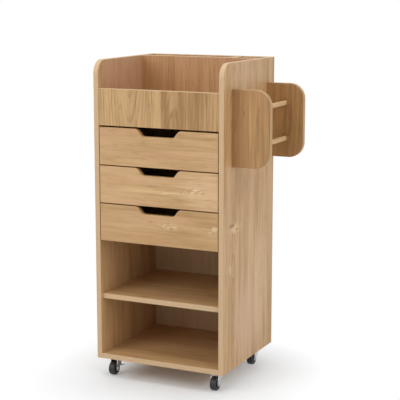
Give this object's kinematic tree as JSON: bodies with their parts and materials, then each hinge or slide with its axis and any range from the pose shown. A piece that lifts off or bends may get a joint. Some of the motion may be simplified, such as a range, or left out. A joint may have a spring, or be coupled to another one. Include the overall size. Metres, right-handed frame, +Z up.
{
  "type": "rolling craft cart",
  "caption": "Tall wooden rolling cart with an open top tray, inset drawers with finger cut-outs, open compartments, a side rack with rods and swivel casters.",
  "frame": {"origin": "on the floor, under the middle of the box around the whole cart, rack included", "axes": "+Z up, the drawers open towards -Y, the rack stands out towards +X"},
  "size_m": [0.513, 0.355, 0.915],
  "materials": {
    "oak_laminate": "satin oak-grain laminate on particle board",
    "drawer_board": "pale oak foil on particle board",
    "hardboard": "smooth printed hardboard",
    "beech": "plain sanded beech",
    "zinc_steel": "bright zinc plate",
    "cam_zinc": "die-cast zinc",
    "wheel_rubber": "moulded black",
    "runner_plastic": "moulded off-white",
    "cup_plastic": "moulded brown"
  },
  "bodies": {
    "cabinet": {"side_panel_left": "oak_laminate", "side_panel_right": "oak_laminate", "tray_floor": "oak_laminate", "tray_front_board": "oak_laminate", "tray_partition": "oak_laminate", "tray_divider": "oak_laminate", "tray_back_board": "oak_laminate", "back_panel": "hardboard", "middle_shelf": "oak_laminate", "bottom_panel": "oak_laminate", "shelf_pins": "zinc_steel", "cam_bolts": "zinc_steel", "cam_locks": "cam_zinc", "wood_dowels": "beech", "insert_nuts": "zinc_steel", "stem_bolts": "zinc_steel", "drawer_runners_1": "runner_plastic", "drawer_runners_2": "runner_plastic", "drawer_runners_3": "runner_plastic", "rack_front_plate": "oak_laminate", "rack_rear_plate": "oak_laminate", "rack_screws": "zinc_steel", "rod_cups": "cup_plastic", "caster_cups": "zinc_steel"},
    "drawer_1": {"drawer_1_front": "oak_laminate", "drawer_1_left_side": "drawer_board", "drawer_1_right_side": "drawer_board", "drawer_1_back": "drawer_board", "drawer_1_floor": "hardboard"},
    "drawer_2": {"drawer_2_front": "oak_laminate", "drawer_2_left_side": "drawer_board", "drawer_2_right_side": "drawer_board", "drawer_2_back": "drawer_board", "drawer_2_floor": "hardboard"},
    "drawer_3": {"drawer_3_front": "oak_laminate", "drawer_3_left_side": "drawer_board", "drawer_3_right_side": "drawer_board", "drawer_3_back": "drawer_board", "drawer_3_floor": "hardboard"},
    "swivel_front_left": {"caster_fork_front_left": "zinc_steel", "caster_axle_front_left": "zinc_steel"},
    "wheel_front_left": {"caster_wheel_front_left": "wheel_rubber"},
    "pedal_front_left": {"brake_pedal_front_left": "zinc_steel"},
    "swivel_front_right": {"caster_fork_front_right": "zinc_steel", "caster_axle_front_right": "zinc_steel"},
    "wheel_front_right": {"caster_wheel_front_right": "wheel_rubber"},
    "swivel_rear_left": {"caster_fork_rear_left": "zinc_steel", "caster_axle_rear_left": "zinc_steel"},
    "wheel_rear_left": {"caster_wheel_rear_left": "wheel_rubber"},
    "pedal_rear_left": {"brake_pedal_rear_left": "zinc_steel"},
    "swivel_rear_right": {"caster_fork_rear_right": "zinc_steel", "caster_axle_rear_right": "zinc_steel"},
    "wheel_rear_right": {"caster_wheel_rear_right": "wheel_rubber"},
    "rod_upper": {"rack_rod_upper": "beech"},
    "rod_lower": {"rack_rod_lower": "beech"}
  },
  "joints": [
    {"name": "drawer_1_slide", "type": "slide", "parent": "cabinet", "child": "drawer_1", "axis": [0, -1, 0], "range_m": [0, 0.22]},
    {"name": "drawer_2_slide", "type": "slide", "parent": "cabinet", "child": "drawer_2", "axis": [0, -1, 0], "range_m": [0, 0.22]},
    {"name": "drawer_3_slide", "type": "slide", "parent": "cabinet", "child": "drawer_3", "axis": [0, -1, 0], "range_m": [0, 0.22]},
    {"name": "swivel_front_left", "type": "hinge", "parent": "cabinet", "child": "swivel_front_left", "pos_m": [-0.2185, -0.1305, 0.055], "axis": [0, 0, 1], "continuous": true},
    {"name": "wheel_front_left", "type": "hinge", "parent": "swivel_front_left", "child": "wheel_front_left", "pos_m": [-0.2185, -0.1465, 0.02], "axis": [1, 0, 0], "continuous": true},
    {"name": "pedal_front_left", "type": "hinge", "parent": "swivel_front_left", "child": "pedal_front_left", "pos_m": [-0.2185, -0.12814, 0.03712], "axis": [1, 0, 0], "range_deg": [0, 25]},
    {"name": "swivel_front_right", "type": "hinge", "parent": "cabinet", "child": "swivel_front_right", "pos_m": [0.1055, -0.1305, 0.055], "axis": [0, 0, 1], "continuous": true},
    {"name": "wheel_front_right", "type": "hinge", "parent": "swivel_front_right", "child": "wheel_front_right", "pos_m": [0.1055, -0.1465, 0.02], "axis": [1, 0, 0], "continuous": true},
    {"name": "swivel_rear_left", "type": "hinge", "parent": "cabinet", "child": "swivel_rear_left", "pos_m": [-0.2185, 0.1305, 0.055], "axis": [0, 0, 1], "continuous": true},
    {"name": "wheel_rear_left", "type": "hinge", "parent": "swivel_rear_left", "child": "wheel_rear_left", "pos_m": [-0.2185, 0.1145, 0.02], "axis": [1, 0, 0], "continuous": true},
    {"name": "pedal_rear_left", "type": "hinge", "parent": "swivel_rear_left", "child": "pedal_rear_left", "pos_m": [-0.2185, 0.13286, 0.03712], "axis": [1, 0, 0], "range_deg": [0, 25]},
    {"name": "swivel_rear_right", "type": "hinge", "parent": "cabinet", "child": "swivel_rear_right", "pos_m": [0.1055, 0.1305, 0.055], "axis": [0, 0, 1], "continuous": true},
    {"name": "wheel_rear_right", "type": "hinge", "parent": "swivel_rear_right", "child": "wheel_rear_right", "pos_m": [0.1055, 0.1145, 0.02], "axis": [1, 0, 0], "continuous": true},
    {"name": "rod_upper_spin", "type": "hinge", "parent": "cabinet", "child": "rod_upper", "pos_m": [0.2035, 0.00475, 0.78938], "axis": [0, 1, 0], "continuous": true},
    {"name": "rod_lower_spin", "type": "hinge", "parent": "cabinet", "child": "rod_lower", "pos_m": [0.2035, 0.00475, 0.68762], "axis": [0, 1, 0], "continuous": true}
  ]
}
